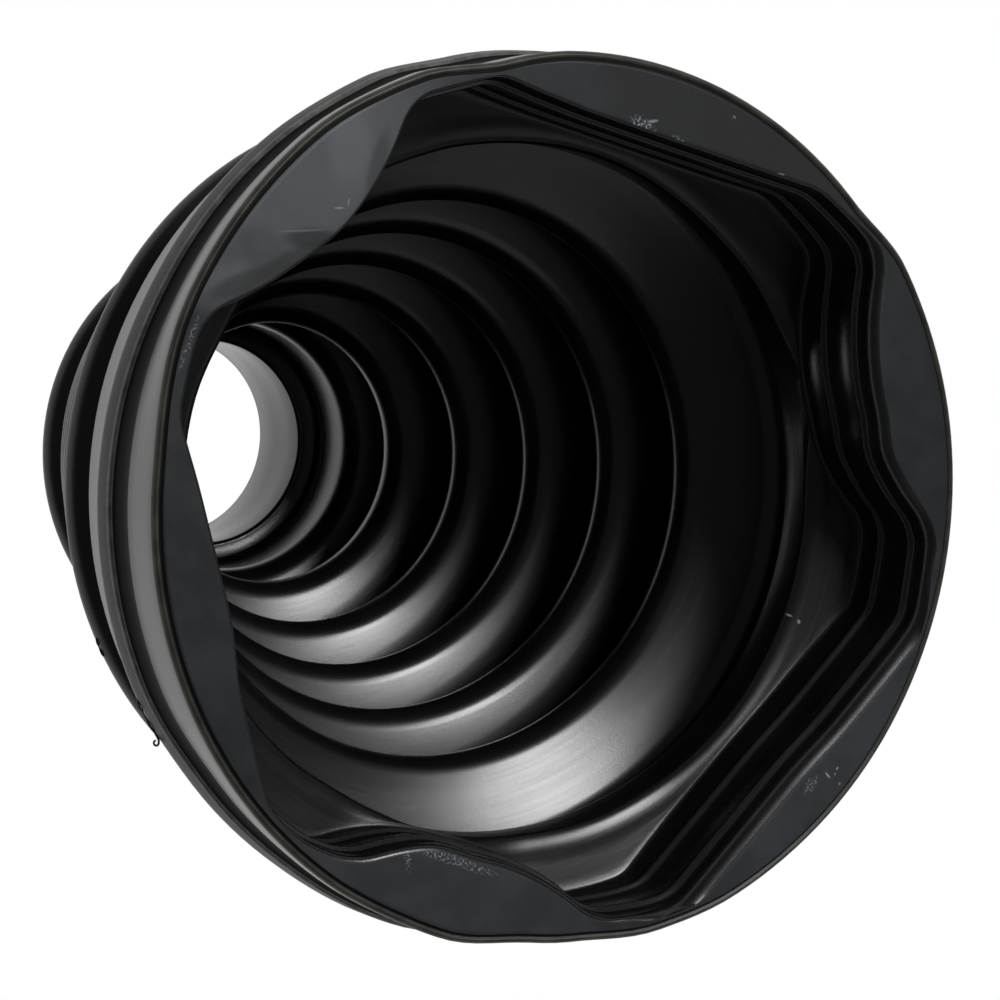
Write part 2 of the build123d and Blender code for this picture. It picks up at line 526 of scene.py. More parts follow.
@dataclass(frozen=True)
class Collar:
    """The wide end: a clamp's seat outside, the lobed bore with beads, and the stop ring.

    Args:
        outline: section of the bore at the mouth.
        face_groove: width and depth of the fine line along the rim.
        groove_shares: where across that line its two rings lie.
        face_shares: how round each ring of the face is, from the rim in.
        band_margin: from the flange's lower round to its scuffed band.
        groove_gap: a hair's breadth between the flange's edge and the seat's fillet.
        seat_curve: depths below the mouth, and how far the hollow seat has risen there.
        face_least: width of the face that is left where the bore comes near the rim.
        bead_shape: power of the beads' cosine, above 1 for a sharper crest.
        ring_lead: width and depth of the stop ring's rounded front.
        ledge_least: least gap between that front and the bore's wall.
        ledge_ease: length over which the two lines are eased together.
        floor_shares: where across the bore's floor its rings lie.
    """

    outline: LobedOutline = field(default_factory=LobedOutline)
    seat_radius: float = 43.4
    seat_width: float = 9.5
    face_edge: float = 0.5
    face_groove: tuple[float, float] = (0.45, 0.25)
    groove_shares: tuple[float, ...] = (0.3, 0.7)
    face_shares: tuple[float, ...] = (1.0, 0.94, 0.75, 0.5, 0.25, 0.06)
    flange_proud: float = 0.5
    flange_edge: float = 0.4
    flange_width: float = 3.0
    flange_round: float = 0.35
    band_margin: float = 0.25
    groove_gap: float = 0.02
    seat_hollow: float = 0.4
    seat_fillet: float = 1.6
    seat_curve: tuple[tuple[float, float], ...] = ((6.6, 0.4), (4.5, 0.8), (3.0, 1.0), (1.5, 1.0))
    bore_depth: float = 11.8
    draft: float = math.radians(3)
    edge_round: float = 0.4
    face_least: float = 0.25
    bead_depths: tuple[float, ...] = (2.8, 7.8)
    bead_height: float = 0.45
    bead_width: float = 0.9
    bead_shape: float = 1.5
    floor_fillet: float = 0.4
    floor_slope: float = math.radians(12)
    floor_shares: tuple[float, ...] = (0.25, 0.5, 0.75)
    ring_step: float = 1.0
    ring_width: float = 5.4
    ring_lead: tuple[float, float] = (2.6, 1.2)
    ledge_least: float = 0.15
    ledge_ease: float = 0.3
    ring_back_edge: float = 0.7
    ring_height: float = 3.0

    @property
    def ring_radius(self) -> float:
        """Inside of the stop ring."""
        return self.outline.corner_radius - self.outline.bulge_depth - self.ring_step

    @property
    def flange_radius(self) -> float:
        """Outside of the flange below the clamp's seat."""
        return self.seat_radius + self.flange_proud

    @property
    def face_radius(self) -> float:
        """Where the mouth's face starts, inside the fine groove along its rim."""
        return self.seat_radius - self.face_edge - self.face_groove[0]

    def inset(self, depth: float) -> float:
        """How far the bore's wall has come in, with its draft and beads.

        Args:
            depth: below the mouth's face.

        Returns:
            The distance inside the mouth's outline.
        """
        bump = 0.0
        for bead in self.bead_depths:
            off = abs(depth - bead) / (self.bead_width / 2)
            if off < 1:
                bump = self.bead_height * math.cos(off * math.pi / 2) ** self.bead_shape
        return depth * math.tan(self.draft) + bump

    def ledge(self, lobed: np.ndarray) -> np.ndarray:
        """Where the stop ring's front edge starts, kept just inside the bore's wall.

        Args:
            lobed: the wall's distance from the axis, at the floor.

        Returns:
            The edge's distance from the axis, the lesser of the two, eased where they meet.
        """
        edge = np.full_like(lobed, self.ring_radius + self.ring_lead[0])
        return eased_least(lobed - self.ledge_least, edge, self.ledge_ease)


def quarter(count: int) -> list[float]:
    """Angles of a quarter turn, both ends included."""
    return [n / count * math.pi / 2 for n in range(count + 1)]


def rounded(
    corner: tuple[float, float], across: float, up: float, steps: int
) -> list[tuple[float, float]]:
    """A corner of the turned profile, rounded by a quarter of an ellipse.

    Args:
        corner: (radius, height) of the sharp corner.
        across: from the corner to the round's end on the level side, outward.
        up: from the corner to the round's end on the upright side, upward.
        steps: how many the quarter turn has.

    Returns:
        (radius, height) points, from the level side to the upright one.
    """
    radius, height = corner
    return [
        (radius + across * (1 - math.sin(a)), height + up * (1 - math.cos(a)))
        for a in quarter(steps)
    ]


def turned_rings(
    points: list[tuple[float, float]], finish: Finish = Finish.INSIDE, rim: float = 1.0
) -> list[Ring]:
    """Round rings through (radius, height) points, all with one finish."""
    return [Ring(height, radius, rim=rim, finish=finish) for radius, height in points]


@dataclass(frozen=True)
class BootMoulding:
    """The whole moulding as rings of skin, from the mouth in, out again and up to the mouth."""

    grip: ShaftGrip = field(default_factory=ShaftGrip)
    bellows: Bellows = field(default_factory=Bellows)
    collar: Collar = field(default_factory=Collar)
    relaxed: Relaxed = field(default_factory=Relaxed)
    top: float = 102.0

    def bore_rings(self) -> list[Ring]:
        """The lobed bore from the mouth's edge to its floor, and the stop ring's front.

        Returns:
            The rings, in order.
        """
        c = self.collar
        wall = c.inset(c.bore_depth - c.floor_fillet)
        floor = self.top - c.bore_depth
        edge_finishes = [Finish.FACE] + [Finish.BORE] * FINE_STEPS
        edge = [
            Ring(self.top, turned=0, rim=0, edge=a, finish=f)
            for a, f in zip(quarter(FINE_STEPS), edge_finishes)
        ]
        walls = []
        for bead in c.bead_depths:
            for off in np.linspace(-1, 1, BEAD_RINGS):
                depth = bead + off * c.bead_width / 2
                walls.append((depth, c.inset(depth), 0.0))
        for a in quarter(ROUND_STEPS):
            inset = wall + c.floor_fillet * (1 - math.cos(a))
            walls.append((c.bore_depth - c.floor_fillet * (1 - math.sin(a)), inset, 1.0))
        shape = dict(turned=0, rim=0, finish=Finish.BORE)
        rings = edge + [Ring(self.top - d, inset=i, floor=f, **shape) for d, i, f in walls]
        inset = wall + c.floor_fillet
        for share in c.floor_shares:
            rings.append(Ring(floor, inset=inset, ledge=share, floor=1, **shape))
        shape = dict(ledge=1, rim=0, finish=Finish.BORE)
        start = math.sin(c.floor_slope)
        for a in quarter(FINE_STEPS):
            angle = c.floor_slope + a * (1 - c.floor_slope / (math.pi / 2))
            drop = c.ring_lead[1] * (math.cos(c.floor_slope) - math.cos(angle))
            turned = (math.sin(angle) - start) / (1 - start)
            rings.append(Ring(floor - drop, c.ring_radius, inset, turned=turned, **shape))
        rings.append(Ring(floor - (c.ring_lead[1] + c.ring_width) / 2, c.ring_radius, rim=0))
        return rings

    def inside_rings(self) -> list[Ring]:
        """The stop ring's back, the folds' inner skin and the shaft's bore.

        Returns:
            The rings, from the mouth's side down.
        """
        c, g = self.collar, self.grip
        back = self.top - c.bore_depth - c.ring_width
        edge = c.ring_back_edge
        points = rounded((c.ring_radius, back), edge, edge, ROUND_STEPS)[::-1]
        points.append((c.ring_radius + c.ring_height / 2, back))
        tips = self.bellows.tips(g.bore_length, self.bellows.crest_turn)
        skin = self.bellows.skin(tips, False, (c.ring_radius + c.ring_height, back))
        points += reversed(skin)
        neck = self.bellows.neck_radius
        points += [(neck, g.bore_length + g.neck_margin), (neck, g.bore_length + g.edge)]
        points.append((neck - g.edge, g.bore_length))
        points += rounded((g.bore_radius, g.bore_length), g.edge, -g.edge, SMALL_STEPS)
        points += [(g.bore_radius, g.bore_length * share) for share in g.bore_shares]
        points += rounded((g.bore_radius, 0.0), g.edge, g.edge, SMALL_STEPS)[::-1]
        return turned_rings(points, rim=0)

    def grip_points(self) -> list[tuple[float, float]]:
        """The small end's face, lip and clamp seat, and the step out to the neck.

        Returns:
            (radius, height) points, from the small end up.
        """
        g = self.grip
        lip = g.seat_radius + g.lip_proud
        seat_top = g.lip_width + g.seat_width
        points = rounded((lip, 0.0), -g.edge, g.edge, ROUND_STEPS)
        points += rounded((lip, g.lip_width), -g.lip_proud, -g.lip_proud, SMALL_STEPS)[::-1]
        points.append((g.seat_radius, g.lip_width + g.seat_margin))
        points.append((g.seat_radius, seat_top - g.seat_margin))
        rise = self.bellows.neck_radius + self.bellows.wall - g.seat_radius
        for share in g.rise_shares:
            eased = smoothstep(share, 0.0, 1.0)
            points.append((g.seat_radius + rise * eased, seat_top + rise * share))
        return points

    def outside_rings(self) -> list[Ring]:
        """The small end, the folds' outer skin and the round under the flange.

        Returns:
            The rings, from the small end up.
        """
        c = self.collar
        foot = (c.flange_radius, self.top - c.seat_width - c.flange_width)
        tips = self.bellows.tips(self.grip.bore_length, self.bellows.crest_land)
        skin = self.bellows.skin(tips, True, (foot[0] - c.flange_round, foot[1]))
        under = rounded(foot, -c.flange_round, c.flange_round, ROUND_STEPS)[1:]
        return turned_rings(self.grip_points() + skin + under, Finish.FOLDS)

    def collar_rings(self) -> list[Ring]:
        """The flange's band and edge, the clamp's seat, the rim and the fine line along it.

        Returns:
            The rings, from the flange up.
        """
        c = self.collar
        corner = (c.flange_radius, self.top - c.seat_width)
        band = (corner[0], corner[1] - c.flange_width + c.flange_round + c.band_margin)
        edge = rounded(corner, -c.flange_edge, -c.flange_edge, SMALL_STEPS)[::-1]
        hollow = c.seat_radius - c.seat_hollow
        step = corner[0] - c.flange_edge - hollow
        groove = rounded((hollow, corner[1] + c.groove_gap), step, c.seat_fillet, GROOVE_STEPS)
        seat = [(hollow + c.seat_hollow * share, self.top - d) for d, share in c.seat_curve]
        rim = rounded((c.seat_radius, self.top), -c.face_edge, -c.face_edge, ROUND_STEPS)[::-1]
        width, depth = c.face_groove
        inner = c.seat_radius - c.face_edge
        line = [(inner - width * share, self.top - depth) for share in c.groove_shares]
        strips = (
            ([band], Finish.BAND),
            # Painted highlight: this strip's pale colour stands in for the light along the
            # flange's upper edge.
            (edge, Finish.EDGE),
            # Painted shade: the fillet under the seat gets a near-black colour.
            (groove, Finish.GROOVE),
            (seat, Finish.SEAT),
            (rim, Finish.RIM),
            # Painted shade: the fine line along the rim gets the same near-black colour.
            (line, Finish.GROOVE),
        )
        return [ring for strip, finish in strips for ring in turned_rings(strip, finish)]

    def face_rings(self) -> list[Ring]:
        """The mouth's flat face, from its round edge in to the lobed one."""
        shape = dict(radius=self.collar.face_radius, edge=0.0, finish=Finish.FACE)
        return [Ring(self.top, turned=share, **shape) for share in self.collar.face_shares]

    def rings(self) -> list[Ring]:
        """All rings, in order round the closed profile."""
        inside = self.bore_rings() + self.inside_rings()
        return inside + self.outside_rings() + self.collar_rings() + self.face_rings()

    def ring_points(self, ring: Ring, angles: np.ndarray) -> np.ndarray:
        """Vertices of one ring.

        Args:
            ring: the ring.
            angles: the columns' directions.

        Returns:
            An array of points in metres, one for each column.
        """
        c = self.collar
        depth = np.full_like(angles, self.top - ring.height)
        lobed = c.outline.radius(angles, ring.inset)
        if ring.edge is not None:
            edge = self.relaxed.edge_round(angles, c.edge_round)
            depth += edge * (1 - math.cos(ring.edge))
            growth = c.outline.radius(angles, ring.inset - 1.0) - lobed
            lobed += edge * (1 - math.sin(ring.edge)) * growth
        outside = self.relaxed.outside(angles, depth)
        inside = self.relaxed.inside(angles, depth)
        ledge = c.ledge(lobed)
        climb = ring.floor * (1 - ring.ledge) * math.tan(c.floor_slope)
        depth -= climb * (lobed - ledge)
        lobed = (1 - ring.ledge) * lobed + ring.ledge * ledge + inside
        if ring.edge is not None:
            face = c.face_radius - c.face_least + outside
            lobed = eased_least(lobed, face, c.face_least / 2)
        circle = ring.radius + ring.rim * outside + (1 - ring.rim) * inside
        radius = ring.turned * circle + (1 - ring.turned) * lobed
        height = self.top - depth
        return np.stack([radius * np.cos(angles), radius * np.sin(angles), height], axis=1) * MM

    def build(self) -> bpy.types.Object:
        """Make the moulding's mesh as one closed grid of rings and columns.

        Returns:
            The boot's object, with its finishes' slots still empty.
        """
        angles = self.collar.outline.columns()
        rings = self.rings()
        grid = np.stack([self.ring_points(ring, angles) for ring in rings])
        ring_count, column_count = grid.shape[:2]
        row = np.arange(ring_count)[:, None]
        column = np.arange(column_count)[None, :]
        next_row = (row + 1) % ring_count
        next_column = (column + 1) % column_count
        corners = [
            row * column_count + column,
            next_row * column_count + column,
            next_row * column_count + next_column,
            row * column_count + next_column,
        ]
        quads = np.stack([np.broadcast_to(c, (ring_count, column_count)) for c in corners], -1)
        mesh = bpy.data.meshes.new("boot_moulding")
        mesh.from_pydata(grid.reshape(-1, 3).tolist(), [], quads.reshape(-1, 4).tolist())
        slots = np.repeat([ring.finish.value for ring in rings], column_count)
        mesh.polygons.foreach_set("material_index", slots)
        mesh.polygons.foreach_set("use_smooth", np.ones(len(slots), bool))
        mesh.update()
        boot = placed("boot_moulding", mesh)
        log.info("boot_moulding: %d rings of %d columns", ring_count, column_count)
        return boot


@dataclass(frozen=True)
class FlashThread:
    """A thin thread of flash that still hangs on an outer edge.

    Args:
        name: the piece's name.
        points: degrees round the axis, distance from it and depth below the mouth, along it.
        thickness: across the thread.
    """

    name: str
    points: tuple[tuple[float, float, float], ...]
    thickness: float = 0.22

    def build(self, top: float, material: bpy.types.Material) -> bpy.types.Object:
        """Make the thread as a thin round mesh through its points.

        Args:
            top: height of the mouth's face.
            material: its finish.

        Returns:
            The thread's object.
        """
        curve = bpy.data.curves.new(self.name, "CURVE")
        curve.dimensions = "3D"
        curve.resolution_u = 4
        curve.bevel_depth = self.thickness / 2 * MM
        curve.bevel_resolution = 1
        curve.use_fill_caps = True
        line = curve.splines.new("BEZIER")
        line.bezier_points.add(len(self.points) - 1)
        for knot, (angle, radius, depth) in zip(line.bezier_points, self.points):
            bearing = math.radians(angle)
            level = (radius * math.cos(bearing), radius * math.sin(bearing))
            knot.co = Vector((*level, top - depth)) * MM
            knot.handle_left_type = knot.handle_right_type = "AUTO"
        source = bpy.data.objects.new(self.name, curve)
        mesh = bpy.data.meshes.new_from_object(source)
        bpy.data.objects.remove(source)
        mesh.materials.clear()
        mesh.materials.append(material)
        thread = placed(self.name, mesh)
        log.info("%s: %d faces", self.name, len(mesh.polygons))
        return thread


def add_node(
    tree: bpy.types.NodeTree, kind: str, inputs: dict[Any, Any] | None = None, **settings: Any
) -> bpy.types.Node:
    """Add a node with its settings and links.

    Args:
        tree: the node tree.
        kind: the node's type name.
        inputs: values for its inputs by name or number; a socket is linked.
        settings: the node's own properties.

    Returns:
        The new node.
    """
    node = tree.nodes.new(kind)
    for name, value in settings.items():
        setattr(node, name, value)
    for name, value in (inputs or {}).items():
        if isinstance(value, bpy.types.NodeSocket):
            tree.links.new(value, node.inputs[name])
        else:
            node.inputs[name].default_value = value
    return node


def emptied(owner: bpy.types.ID) -> bpy.types.NodeTree:
    """Switch on the node tree of a material or a world, with nothing in it.

    Args:
        owner: the material or the world.

    Returns:
        The node tree.
    """
    owner.use_nodes = True
    owner.node_tree.nodes.clear()
    return owner.node_tree


def spans(
    source: tuple[float, float], target: tuple[float, float] = (0.0, 1.0)
) -> dict[str, float]:
    """Inputs that map one range of values to another."""
    return dict(zip(("From Min", "From Max", "To Min", "To Max"), source + target))


def per_metre(size_mm: float) -> float:
    """Texture scale whose pattern repeats about every size_mm millimetres."""
    return 1 / (size_mm * MM)


# Inputs and output of a mix of colours, whose names it shares with other kinds of mix.
MIX_FROM, MIX_TO, MIX_RESULT = 6, 7, 2
# Share of a mark's half width that has its full strength.
MARK_CORE = 0.4
# A size so large, in metres, that a mark ignores height.
ANY_HEIGHT = 1e3
# Stretches of noise that clouds, specks and streaks are spread over.
CLOUD_SPAN = (0.35, 0.65)
SPECK_SPAN = (0.5, 0.6)
STREAK_SPAN = (0.3, 0.7)
# Distance from the axis at which streaks have their stated length.
STREAK_RADIUS_MM = 40.0


@dataclass(frozen=True)
class Mark:
    """A scuff, a scratch, a speck of dust or a patch of bloom.

    Args:
        angle: degrees round the boot's axis.
        radius: distance from the axis.
        size: length and width.
        turn: degrees that its length is turned from the direction round the mouth.
        strength: how far it goes to its own colour, from 0 to 1.
        broken: broken up into specks.
        colour: what it turns the rubber to.
    """

    angle: float
    radius: float
    size: tuple[float, float]
    turn: float = 0.0
    strength: float = 1.0
    broken: bool = False
    colour: str = "#8f9499"

    def mask(self, tree: bpy.types.NodeTree, place: bpy.types.NodeSocket) -> bpy.types.NodeSocket:
        """Nodes that give the mark's share of the surface.

        Args:
            tree: the material's node tree.
            place: object coordinates.

        Returns:
            The strength inside the mark, fading to 0 at its edge.
        """
        bearing = math.radians(self.angle)
        centre = Vector((math.cos(bearing), math.sin(bearing), 0)) * self.radius * MM
        along = bearing + math.pi / 2 + math.radians(self.turn)
        length, width = self.size
        mapped = add_node(
            tree,
            "ShaderNodeMapping",
            {
                "Vector": place,
                "Location": centre,
                "Rotation": (0, 0, along),
                "Scale": (length * MM / 2, width * MM / 2, ANY_HEIGHT),
            },
            vector_type="TEXTURE",
        )
        inputs = {0: mapped.outputs[0]}
        off = add_node(tree, "ShaderNodeVectorMath", inputs, operation="LENGTH").outputs["Value"]
        inputs = {"Value": off} | spans((1.0, MARK_CORE), (0.0, self.strength))
        fade = add_node(tree, "ShaderNodeMapRange", inputs, interpolation_type="SMOOTHSTEP")
        return fade.outputs["Result"]


@dataclass(frozen=True)
class MouldedRubber:
    """Black chloroprene rubber as it leaves a steel mould.

    Satin and near black, with clouds of bloom, a fine grain that breaks up its highlights, and
    faint streaks round the boot from the turned mould.

    Args:
        name: the material's name.
        colour: where the rubber is clean.
        bloom_colour: where its bloom has come to the surface.
        roughness: its middle value.
        roughness_spread: either side of that.
        ior: a little above that of plain rubber, for the carbon black in it.
        specular: the reflection's level, 0.5 for all that the IOR gives.
        cloud_mm: size of a cloud of bloom.
        grain_mm: size of a grain, drawn coarser than the real one so that it shows.
        grain_height_mm: height of the grain.
        streak_mm: width and length of a streak, and streak_height_mm its height.
        marks: wear in known places.
    """

    name: str
    colour: str = "#0c0d0e"
    bloom_colour: str = "#121315"
    roughness: float = 0.26
    roughness_spread: float = 0.02
    ior: float = 1.55
    specular: float = 0.5
    cloud_mm: float = 9.0
    grain_mm: float = 0.35
    grain_height_mm: float = 0.004
    streak_mm: tuple[float, float] = (0.4, 12.0)
    streak_height_mm: float = 0.001
    marks: tuple[Mark, ...] = ()

    def noise(
        self, tree: bpy.types.NodeTree, place: bpy.types.NodeSocket, size_mm: float
    ) -> bpy.types.NodeSocket:
        """Cloudy noise with a given size."""
        inputs = {"Vector": place, "Scale": per_metre(size_mm), "Detail": 3.0}
        return add_node(tree, "ShaderNodeTexNoise", inputs).outputs["Fac"]

    def streaks(
        self, tree: bpy.types.NodeTree, place: bpy.types.NodeSocket
    ) -> bpy.types.NodeSocket:
        """Noise drawn out round the boot's axis.

        Args:
            tree: the material's node tree.
            place: object coordinates.

        Returns:
            The noise.
        """
        width, length = self.streak_mm
        turn = STREAK_RADIUS_MM / length

        def vector(operation: str, inputs: dict[Any, Any]) -> bpy.types.NodeSocket:
            """One step of vector arithmetic."""
            node = add_node(tree, "ShaderNodeVectorMath", inputs, operation=operation)
            return node.outputs["Value" if operation == "LENGTH" else "Vector"]

        level = vector("MULTIPLY", {0: place, 1: (1, 1, 0)})
        around = vector("SCALE", {0: vector("NORMALIZE", {0: level}), "Scale": turn})
        upright = vector("MULTIPLY", {0: place, 1: (0, 0, per_metre(width))})
        outward = vector("SCALE", {0: level, "Scale": per_metre(width)})
        inputs = {
            "Vector": vector("ADD", {0: around, 1: upright}),
            "W": vector("LENGTH", {0: outward}),
            "Scale": 1.0,
            "Detail": 2.0,
        }
        node = add_node(tree, "ShaderNodeTexNoise", inputs, noise_dimensions="4D")
        return node.outputs["Fac"]

    def marked(
        self,
        tree: bpy.types.NodeTree,
        place: bpy.types.NodeSocket,
        colour: bpy.types.NodeSocket,
        specks: bpy.types.NodeSocket,
    ) -> bpy.types.NodeSocket:
        """Lay the marks over a colour.

        Args:
            tree: the material's node tree.
            place: object coordinates.
            colour: the rubber's own colour.
            specks: share of specks that broken marks are made of.

        Returns:
            The colour with its marks.
        """
        for mark in self.marks:
            share = mark.mask(tree, place)
            if mark.broken:
                inputs = {0: share, 1: specks}
                node = add_node(tree, "ShaderNodeMath", inputs, operation="MULTIPLY")
                share = node.outputs[0]
            inputs = {"Factor": share, MIX_FROM: colour, MIX_TO: linear(mark.colour)}
            mix = add_node(tree, "ShaderNodeMix", inputs, data_type="RGBA")
            colour = mix.outputs[MIX_RESULT]
        return colour

    def material(self) -> bpy.types.Material:
        """Build the finish.

        Returns:
            The material.
        """
        material = bpy.data.materials.new(self.name)
        tree = emptied(material)
        place = add_node(tree, "ShaderNodeTexCoord").outputs["Object"]
        clouds = self.noise(tree, place, self.cloud_mm)
        grain = self.noise(tree, place, self.grain_mm)
        streaks = self.streaks(tree, place)
        inputs = {"Value": clouds} | spans(CLOUD_SPAN)
        bloom = add_node(tree, "ShaderNodeMapRange", inputs).outputs["Result"]
        ends = {MIX_FROM: linear(self.colour), MIX_TO: linear(self.bloom_colour)}
        mix = add_node(tree, "ShaderNodeMix", {"Factor": bloom} | ends, data_type="RGBA")
        inputs = {"Value": grain} | spans(SPECK_SPAN)
        specks = add_node(tree, "ShaderNodeMapRange", inputs).outputs["Result"]
        colour = self.marked(tree, place, mix.outputs[MIX_RESULT], specks)
        dull, spread = self.roughness, self.roughness_spread
        inputs = {"Value": streaks} | spans(STREAK_SPAN, (dull - spread, dull + spread))
        roughness = add_node(tree, "ShaderNodeMapRange", inputs).outputs["Result"]
        inputs = {"Height": grain, "Distance": self.grain_height_mm * MM}
        grained = add_node(tree, "ShaderNodeBump", inputs).outputs["Normal"]
        height = self.streak_height_mm * MM
        inputs = {"Height": streaks, "Distance": height, "Normal": grained}
        normal = add_node(tree, "ShaderNodeBump", inputs).outputs["Normal"]
        inputs = {
            "Base Color": colour,
            "Roughness": roughness,
            "Normal": normal,
            "IOR": self.ior,
            "Specular IOR Level": self.specular,
        }
        surface = add_node(tree, "ShaderNodeBsdfPrincipled", inputs)
        output = add_node(tree, "ShaderNodeOutputMaterial")
        tree.links.new(surface.outputs["BSDF"], output.inputs["Surface"])
        return material


# Rubber with no bloom, and rubber rubbed by handling.
CLEAN = "#0e0f10"
OLIVE = "#1b1b18"

FACE_MARKS = (
    # Two lobes with less bloom than the rest.
    Mark(322, 39.5, (52.0, 20.0), 0, 0.7, colour=CLEAN),
    Mark(270, 39.5, (52.0, 20.0), 0, 0.3, colour=CLEAN),
    # Two with more.
    Mark(147, 39.5, (52.0, 20.0), 0, 0.05),
    Mark(210, 39.5, (52.0, 20.0), 0, 0.05),
    # Scuffs along the edge of one lobe.
    Mark(334.5, 36.4, (3.6, 1.8), -15, broken=True),
    Mark(333, 37.0, (1.6, 0.4), 20, 0.7),
    Mark(327.5, 35.9, (2.6, 1.0), -20, broken=True),
    Mark(324, 36.0, (1.5, 0.35), -15, 0.7),
    Mark(310, 38.4, (1.6, 0.35), 35, 0.6),
    Mark(320.5, 40.5, (0.5, 0.4), 0, 0.4),
    # A rubbed edge on the lobe nearest the viewer.
    Mark(144, 35.7, (14.0, 1.3), 0, 0.7, broken=True),
    Mark(137, 36.9, (4.0, 1.0), -55, 0.5, broken=True),
    # A short nick with specks about it, across the next lobe.
    Mark(211.3, 40.6, (1.1, 0.28), 88, 0.9),
    Mark(213, 41.0, (0.5, 0.4), 0, 0.6),
    Mark(212.2, 41.2, (0.4, 0.3), 60, 0.5),
    Mark(211.7, 42.3, (0.4, 0.3), 20, 0.6),
    Mark(208.5, 39.8, (2.8, 1.6), 10, 0.5, broken=True),
    # Pale bloom over the lobe beside the clamp's seat.
    Mark(27, 40.5, (38.0, 16.0), 0, 0.22),
    # Its clouds: two pale, one dark.
    Mark(21, 41.0, (10.0, 6.0), 48, 0.13),
    Mark(46, 42.0, (8.0, 4.5), -34, 0.13),
    Mark(39, 40.2, (8.0, 5.0), -80, 0.3, colour=CLEAN),
    # Its inner edge, rubbed to a dark olive.
    Mark(37.5, 37.3, (10.0, 2.6), -27, 0.65, colour=OLIVE),
    Mark(44.5, 40.4, (10.0, 2.6), -37, 0.65, colour=OLIVE),
    Mark(19, 38.0, (9.0, 2.2), 40, 0.5, colour=OLIVE),
    # A dark half-moon in it below a pale line, and a short tick.
    Mark(33.5, 37.2, (7.0, 2.6), -47, 0.75, colour=CLEAN),
    Mark(33.6, 38.3, (6.0, 0.3), -46, 0.25),
    Mark(27.5, 37.2, (1.3, 0.3), -40, 0.5),
    Mark(25.8, 37.0, (1.0, 0.25), 40, 0.5),
    # Specks of dust along the face's outer edge.
    Mark(54, 42.5, (7.0, 0.8), 0, 0.45, broken=True),
)

# Two specks of dust on the stop ring's lead.
DUST = (Mark(232, 36.2, (0.6, 0.45), 30, 0.9), Mark(232.4, 35.1, (0.8, 0.3), 87, 0.8))

FINISHES = {
    # Satin from the core of the mould: it catches the lamp as a broad soft band on each fold.
    Finish.INSIDE: MouldedRubber("satin_rubber_inside"),
    # A little duller, with streaks that show in the light on the bore's floor.
    Finish.BORE: MouldedRubber(
        "satin_rubber_bore",
        roughness=0.27,
        specular=0.4,
        streak_height_mm=0.004,
        marks=DUST,
    ),
    # Bloomed: a dull blue-grey that hardly reflects, paler in clouds and where it is scuffed.
    Finish.FACE: MouldedRubber(
        "bloomed_rubber_face",
        "#191b1f",
        "#272a2e",
        0.5,
        specular=0.25,
        cloud_mm=4.0,
        grain_mm=0.24,
        grain_height_mm=0.01,
        marks=FACE_MARKS,
    ),
    # Rubbed by handling: the edges go a dusty olive grey.
    Finish.RIM: MouldedRubber(
        "worn_rubber_rim", "#22221d", "#3a3a32", 0.45, specular=0.3, cloud_mm=3.0
    ),
    # Smooth and handled: a warm grey sheen that mirrors the pale floor.
    Finish.SEAT: MouldedRubber("smooth_rubber_seat", "#30302f", "#383836", 0.36, ior=1.65),
    # Spark-eroded mould: dull black, with a fine roughness that shows in its highlights.
    Finish.FOLDS: MouldedRubber(
        "textured_rubber_folds", "#0c0c0d", "#141415", 0.4, specular=0.35, grain_height_mm=0.02
    ),
    # The same mould, scuffed by handling: a flat grey band that hardly shines.
    Finish.BAND: MouldedRubber(
        "scuffed_rubber_band", "#121212", "#1e1e1d", 0.5, specular=0.25, cloud_mm=1.5
    ),
    # Painted highlight: a pale colour along the flange's upper edge, as a thin broken line,
    # stands in for the bright line that light gives there.
    Finish.EDGE: MouldedRubber("painted_highlight_rubber_edge", "#3c3c3a", "#62625d", 0.45, cloud_mm=1.5),
    # Painted shade: a dull black colour deep in the corners, as a line beside each bright edge,
    # darkens the seat's fillet and the fine line along the rim.
    Finish.GROOVE: MouldedRubber("painted_shade_rubber_groove", "#090909", "#0e0e0f", 0.6, specular=0.12),
}

THREADS = (
    # Hangs on the flange's lower edge and ends in a small hook.
    FlashThread(
        "flash_thread",
        (
            (99.6, 43.5, 12.4),
            (101.0, 43.75, 12.2),
            (102.2, 43.5, 12.6),
            (103.6, 43.65, 12.2),
            (105.2, 43.5, 12.3),
            (106.2, 43.7, 12.2),
            (106.3, 44.0, 12.2),
            (105.8, 44.1, 12.2),
            (105.6, 43.85, 12.1),
        ),
    ),
    # Lint on the crest of the first fold.
    FlashThread(
        "flash_lint",
        (
            (98.4, 38.2, 34.6),
            (99.3, 38.5, 34.3),
            (100.2, 38.35, 34.7),
            (101.2, 38.5, 34.4),
            (102.2, 38.2, 34.8),
        ),
    ),
)


@dataclass(frozen=True)
class SoftLamp:
    """An oblong lamp that looks at the mouth.

    Args:
        name: its name.
        bearing: degrees round the boot's axis.
        height: degrees above the mouth's face.
        distance: from the mouth, in metres.
        size: long and short side, in metres.
        power: in watts.
        roll: degrees that its long side is turned from level.
    """

    name: str
    bearing: float
    height: float
    distance: float
    size: tuple[float, float]
    power: float
    roll: float = 0.0


